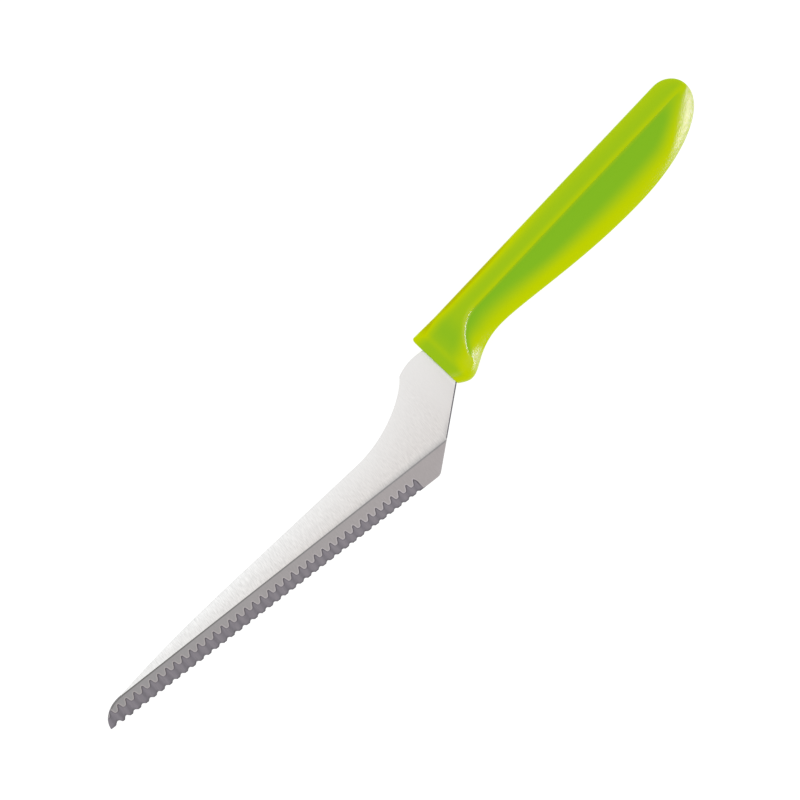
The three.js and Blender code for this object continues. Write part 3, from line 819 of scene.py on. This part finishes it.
def blade_sections():
    """Sections and their tones, from the nose to the heel, round through the neck and along the tang."""
    heel_end = float(lower[-2][0])
    steps = int(heel_end / GROOVE_PITCH_HEEL * GROOVE_STEPS)
    places = set(np.linspace(0, heel_end, steps + 1)[1:])
    places |= {NOSE_LENGTH * (1 - math.cos(t)) for t in np.linspace(*NOSE_TURNS, NOSE_STATIONS)}
    sections = []
    for along in sorted(places):
        low = max(float(np.interp(along, lower[:, 0], lower[:, 1])), gullet_at(along))
        top = float(np.interp(along, upper[:, 0], upper[:, 1]))
        if top - low > LEAST_WIDTH:
            section = blade_section(Vector((along, low)), Vector((along, top)), 0)
            sections.append((section, ground_tones(along, 0)))
    low_end, high_end = on_edge(neck_bottom), on_edge(neck_top)
    for i in range(1, NECK_STATIONS + 1):
        share = i / NECK_STATIONS
        low_along, high_along = lerp(heel_end, low_end.x, share), lerp(heel_end, high_end.x, share)
        low = Vector((low_along, float(np.interp(low_along, lower[:, 0], lower[:, 1]))))
        high = Vector((high_along, float(np.interp(high_along, upper[:, 0], upper[:, 1]))))
        shoulder = shoulder_at(low_along)
        tones = ground_tones(low_along, smoothstep(low.y, shoulder, shoulder + NECK_TURN))
        # Painted light on the steel next to the handle.
        near = smoothstep(i, NECK_STATIONS - HANDLE_LINE_STATIONS, NECK_STATIONS)
        for row in tones:
            row[FLAT_LAYER] = lerp(row[FLAT_LAYER], HANDLE_LINE, near)
        sections.append((blade_section(low, high, 1 if low.y > shoulder else 0), tones))
    for i in range(TANG_STATIONS + 1):
        share = i / TANG_STATIONS
        x = lerp(SHOULDER_X, TANG_LENGTH, share)
        low, high = (on_edge((x, lerp(TANG_FRONT[k], TANG_END[k], share))) for k in (0, 1))
        sections.append((blade_section(low, high, 0), ground_tones(EDGE_LENGTH, 1)))
    return sections


# The blade's steels, in the order of its materials.
FLAT, BEVEL, GROOVES = range(3)


def face_regions():
    """Region and steel of the faces after each place round a section. Each narrow face is its own region."""
    regions = {}
    for start in range(LAST_PLACE + 1):
        if start < EDGE_PLACE:
            regions[start] = (start, GROOVES)
        elif start < ZIGZAG_PLACE:
            regions[start] = (EDGE_PLACE, GROOVES)
        elif start < SHOULDER_PLACE:
            regions[start] = (ZIGZAG_PLACE, BEVEL)
        elif start < SPINE_PLACE:
            regions[start] = (SHOULDER_PLACE, FLAT)
        elif start < BACK_PLACE or start >= LAST_PLACE - 1:
            regions[start] = (start, FLAT)
        else:
            regions[start] = (BACK_PLACE, FLAT)
    return regions


WELD = 1e-6
TANG_REGION = 100  # added to a face's region on the tang, so that its shoulder stays sharp


def make_blade(flat_steel, bevel_steel, groove_steel):
    bm = bmesh.new()
    tones = [bm.verts.layers.float.new(name) for name in BLADE_LAYERS]
    region = bm.faces.layers.int.new("region")
    sections = blade_sections()
    loops, tip_edges, tang_edges = loft(bm, [points for points, _ in sections])
    place = bm.verts.layers.int["place"]
    for loop, (_, rows) in zip(loops, sections):
        for vert in loop:
            for layer, tone in zip(tones, rows[vert[place]]):
                vert[layer] = tone
    regions = face_regions()
    for face in bm.faces:
        face.smooth = True
        ends = sorted({v[place] for v in face.verts})
        start = ends[0] if ends[1] - ends[0] == 1 else ends[1]
        face[region], face.material_index = regions[start]
        middle = on_edge(face.calc_center_median())
        plain_heel = middle.x > LAST_GROOVE + GROOVE_RUNOUT and middle.y < shoulder_at(middle.x)
        if start == SPINE_PLACE and middle.x < NOSE_LENGTH:
            face.material_index = GROOVES
        if start < EDGE_PLACE and plain_heel:
            face.material_index = BEVEL
        if min(v.co.x for v in face.verts) > SHOULDER_X - WELD:
            face[region] += TANG_REGION
    for edges in (tip_edges, tang_edges):
        for face in bmesh.ops.contextual_create(bm, geom=edges)["faces"]:
            face[region] = LAST_PLACE + 1
    bmesh.ops.remove_doubles(bm, verts=bm.verts, dist=WELD)
    bmesh.ops.dissolve_degenerate(bm, edges=bm.edges, dist=WELD / 10)
    bmesh.ops.recalc_face_normals(bm, faces=bm.faces)
    for edge in bm.edges:
        edge.smooth = len({face[region] for face in edge.link_faces}) == 1
    steels = [flat_steel, bevel_steel, groove_steel]
    return finish_piece("serrated_blade", bm, steels, "blade")


# Plastic of the handle: its lime colour in painted shade, in painted light and in the spine corner's painted
# olive shade, with its roughness, shine and relief from the dull to the glossy places.
SHADED_GREEN = (0.219, 0.474, 0.016, 1)
LIT_LIME_YELLOW = (0.505, 0.612, 0.0, 1)
SHADED_SPINE_OLIVE = (0.41, 0.40, 0.0, 1)
OLIVE_AT = 1.35
PLASTIC_GRAIN = 0.00042
PLASTIC_SHINE = (0.004, 0.37)
PLASTIC_RELIEF = (0.12, 0.8)
PLASTIC_RELIEF_HEIGHT = 0.00025
PLASTIC_ROUGHNESS = (0.22, 0.30)
# Steel in its painted dark lines, at large and in its painted light lines: the tone and its colour.
# The three steels' colours differ partly by their finish and partly by painted shade.
FLAT_TONES = ((-1, (0.42, 0.41, 0.405)), (0, (0.617, 0.593, 0.578)), (1, (0.75, 0.75, 0.745)))
BEVEL_TONES = (
    (-1, (0.16, 0.155, 0.15)),
    (0, (0.30, 0.291, 0.294)),
    (0.35, (0.392, 0.362, 0.362)),
    (1, (0.54, 0.505, 0.53)),
)
GROOVE_TONES = ((-1, (0.08, 0.075, 0.08)), (0, (0.225, 0.208, 0.232)), (1, (0.32, 0.29, 0.31)))
# Strokes of each steel: their width and length, how much they differ in tone, and their roughness.
FLAT_STROKES = {"stroke": (0.0002, 0.0016), "contrast": 0.16, "roughness": (0.26, 0.38)}
BEVEL_STROKES = {"stroke": (0.0003, 0.002), "contrast": 0.06, "roughness": (0.34, 0.44)}
GROOVE_STROKES = {"stroke": (0.0005, 0.003), "contrast": 0.08, "roughness": (0.36, 0.46)}
STROKE_LEVELS = (0.25, 0.75)
STROKE_MIDDLE = 0.5
STROKE_RELIEF = 0.1
STROKE_HEIGHT = 0.00002
NOISE_DETAIL = 2
# Sockets of the mix node by place, since their names repeat for each kind of value.
MIX_SHARE, MIX_LEVEL_A, MIX_LEVEL_B, MIX_COLOUR_A, MIX_COLOUR_B = 0, 2, 3, 6, 7
MIX_LEVEL_OUT, MIX_COLOUR_OUT = 0, 2


def new_material(name):
    """A material with its shader, and a function that adds a node to it."""
    material = bpy.data.materials.new(name)
    material.use_nodes = True
    nodes, links = material.node_tree.nodes, material.node_tree.links
    shader = nodes["Principled BSDF"]

    def add(kind, inputs=(), **settings):
        made = nodes.new(kind)
        for key, value in settings.items():
            setattr(made, key, value)
        for key, value in dict(inputs).items():
            if isinstance(value, bpy.types.NodeSocket):
                links.new(value, made.inputs[key])
            else:
                made.inputs[key].default_value = value
        return made

    def feed(key, socket):
        links.new(socket, shader.inputs[key])

    return material, shader, add, feed


def to_range(limits):
    """Inputs of a Map Range node that give the two limits."""
    return {"To Min": limits[0], "To Max": limits[1]}


def lime_plastic():
    material, _, add, feed = new_material("lime_moulded_plastic")
    where = add("ShaderNodeTexCoord").outputs["Object"]
    # Base colour: the lime plastic with its light and shade painted in, shaded green, lit yellow and shaded
    # olive.
    painted_shading = add("ShaderNodeAttribute", attribute_name="painted_shading").outputs["Fac"]
    level = add("ShaderNodeMapRange", {"Value": painted_shading, "From Max": OLIVE_AT})
    ramp = add("ShaderNodeValToRGB", {"Fac": level.outputs["Result"]})
    stops = ramp.color_ramp.elements
    stops.new(1 / OLIVE_AT)
    for stop, colour in zip(stops, (SHADED_GREEN, LIT_LIME_YELLOW, SHADED_SPINE_OLIVE)):
        stop.color = colour
    feed("Base Color", ramp.outputs["Color"])
    grain = add("ShaderNodeTexNoise", {
        "Vector": where, "Scale": 1 / PLASTIC_GRAIN, "Detail": NOISE_DETAIL})
    rough = add("ShaderNodeMapRange", {"Value": grain.outputs["Fac"], **to_range(PLASTIC_ROUGHNESS)})
    feed("Roughness", rough.outputs["Result"])
    gloss = add("ShaderNodeAttribute", attribute_name="gloss").outputs["Fac"]
    relief = add("ShaderNodeMapRange", {"Value": gloss, **to_range(PLASTIC_RELIEF)})
    bump = add("ShaderNodeBump", {
        "Height": grain.outputs["Fac"],
        "Strength": relief.outputs["Result"],
        "Distance": PLASTIC_RELIEF_HEIGHT,
    })
    feed("Normal", bump.outputs["Normal"])
    shine = add("ShaderNodeMapRange", {"Value": gloss, **to_range(PLASTIC_SHINE)})
    feed("Specular IOR Level", shine.outputs["Result"])
    return material


def ground_steel(name, tones, attribute, stroke, contrast, roughness, strength=None):
    """Steel with fine strokes square to the edge, as a grinding belt leaves them, coloured by its painted
    light and shade.
    """
    material, shader, add, feed = new_material(name)
    tone = add("ShaderNodeAttribute", attribute_name=attribute).outputs["Fac"]
    level = add("ShaderNodeMapRange", {"Value": tone, "From Min": -1, "From Max": 1})
    ramp = add("ShaderNodeValToRGB", {"Fac": level.outputs["Result"]})
    stops = ramp.color_ramp.elements
    for level_at, _ in tones[1:-1]:
        stops.new((level_at + 1) / 2)
    for stop, (_, colour) in zip(stops, tones):
        stop.color = (*colour, 1)
    turned = add("ShaderNodeMapping", {
        "Vector": add("ShaderNodeTexCoord").outputs["Object"],
        "Rotation": (0, 0, -EDGE_ANGLE),
        "Scale": (stroke[0], stroke[1], stroke[1]),
    }, vector_type="TEXTURE")
    strokes = add("ShaderNodeTexNoise", {
        "Vector": turned.outputs["Vector"], "Scale": 1, "Detail": NOISE_DETAIL})
    level = strokes.outputs["Fac"]
    if strength:
        place = add("ShaderNodeAttribute", attribute_name=strength).outputs["Fac"]
        faded = add("ShaderNodeMix", {
            MIX_SHARE: place, MIX_LEVEL_A: STROKE_MIDDLE, MIX_LEVEL_B: level})
        level = faded.outputs[MIX_LEVEL_OUT]
    shade = add("ShaderNodeMapRange", {
        "Value": level,
        "From Min": STROKE_LEVELS[0],
        "From Max": STROKE_LEVELS[1],
        **to_range((1 - contrast, 1 + contrast)),
    })
    marked = add("ShaderNodeMix", {
        MIX_SHARE: 1,
        MIX_COLOUR_A: ramp.outputs["Color"],
        MIX_COLOUR_B: shade.outputs["Result"],
    }, data_type="RGBA", blend_type="MULTIPLY")
    feed("Base Color", marked.outputs[MIX_COLOUR_OUT])
    rough = add("ShaderNodeMapRange", {"Value": strokes.outputs["Fac"], **to_range(roughness)})
    feed("Roughness", rough.outputs["Result"])
    bump = add("ShaderNodeBump", {
        "Height": strokes.outputs["Fac"], "Strength": STROKE_RELIEF, "Distance": STROKE_HEIGHT})
    feed("Normal", bump.outputs["Normal"])
    shader.inputs["Metallic"].default_value = 1
    return material


# Floor, which glows so that it looks as pale as the photo's ground.
WHITE = (1, 1, 1, 1)
FLOOR_SIZE = 6
FLOOR_DROP = 0.0002
FLOOR_GREY = (0.2, 0.2, 0.2, 1)
FLOOR_ROUGHNESS = 0.9
FLOOR_STRENGTH = 0.88
# Centre of the picture on the knife, the handle's slope in it, and the width that it spans.
PICTURE_CENTRE = Vector((-0.01581, -0.00043))
HANDLE_SLOPE = math.radians(46.596)
PICTURE_WIDTH = 0.2448
LENS = 150
SENSOR = 36
SIGHT_END = 20
# Lights: place and aim, as right and up in the picture and height over the steel's middle, size and power.
SOFTBOX = {"place": (-0.15, -0.05, 1.6), "target": (-0.15, -0.05, 0), "size": (0.8, 0.8), "power": 0.6}
HANDLE_PANEL = {"place": (0.6, 0.05, -0.06), "target": (0.05, 0.03, 0), "size": (0.7, 0.6), "power": 33}
HIGHLIGHT_TINT = (0.62, 0.46, 1.0)
WORLD_STRENGTH = 1.0


def pale_floor():
    material, shader, *_ = new_material("pale_floor")
    shader.inputs["Base Color"].default_value = FLOOR_GREY
    shader.inputs["Roughness"].default_value = FLOOR_ROUGHNESS
    shader.inputs["Emission Color"].default_value = WHITE
    shader.inputs["Emission Strength"].default_value = FLOOR_STRENGTH
    return material


def make_floor():
    bm = bmesh.new()
    bmesh.ops.create_grid(bm, x_segments=1, y_segments=1, size=FLOOR_SIZE / 2)
    mesh = bpy.data.meshes.new("floor")
    bm.to_mesh(mesh)
    bm.free()
    mesh.materials.append(pale_floor())
    floor = bpy.data.objects.new("floor", mesh)
    floor.location.z = -FLOOR_DROP
    bpy.context.scene.collection.objects.link(floor)


def make_camera():
    data = bpy.data.cameras.new("camera")
    data.lens = LENS
    data.sensor_width = SENSOR
    data.clip_end = SIGHT_END
    camera = bpy.data.objects.new("camera", data)
    distance = PICTURE_WIDTH * LENS / SENSOR
    camera.location = KNIFE_ZERO + Vector((*PICTURE_CENTRE, distance))
    camera.rotation_euler = (0, 0, -HANDLE_SLOPE)
    bpy.context.scene.collection.objects.link(camera)
    bpy.context.scene.camera = camera


def make_light(name, place, target, size, power):
    """A soft rectangular light."""
    data = bpy.data.lights.new(name, "AREA")
    data.shape = "RECTANGLE"
    data.size, data.size_y = size
    data.energy = power
    light = bpy.data.objects.new(name, data)
    right = Vector((math.cos(HANDLE_SLOPE), -math.sin(HANDLE_SLOPE), 0))
    up = Vector((math.sin(HANDLE_SLOPE), math.cos(HANDLE_SLOPE), 0))
    centre = KNIFE_ZERO + Vector((*PICTURE_CENTRE, 0))
    there, aim = (centre + p[0] * right + p[1] * up + Vector((0, 0, p[2])) for p in (place, target))
    light.location = there
    light.rotation_euler = (aim - there).to_track_quat("-Z", "Y").to_euler()
    bpy.context.scene.collection.objects.link(light)
    return light


def make_studio(handle):
    """Floor, camera and light. One panel serves the handle's highlights alone."""
    make_floor()
    make_camera()
    world = bpy.data.worlds.new("studio")
    world.use_nodes = True
    background = world.node_tree.nodes["Background"]
    background.inputs["Color"].default_value = WHITE
    background.inputs["Strength"].default_value = WORLD_STRENGTH
    bpy.context.scene.world = world
    bpy.context.scene.view_settings.view_transform = "Standard"
    make_light("overhead_softbox", **SOFTBOX)
    panel = make_light("handle_panel", **HANDLE_PANEL)
    panel.data.color = HIGHLIGHT_TINT
    panel.visible_diffuse = False
    lit = bpy.data.collections.new("lit_by_handle_panel")
    lit.objects.link(handle)
    panel.light_linking.receiver_collection = lit
    panel.light_linking.blocker_collection = lit


make_studio(make_handle(lime_plastic()))
make_blade(
    ground_steel("brushed_side_steel", FLAT_TONES, "flat_painted_shading", **FLAT_STROKES, strength="flat_stroke"),
    ground_steel("ground_bevel_steel", BEVEL_TONES, "bevel_painted_shading", **BEVEL_STROKES),
    ground_steel("groove_steel", GROOVE_TONES, "groove_painted_shading", **GROOVE_STROKES),
)
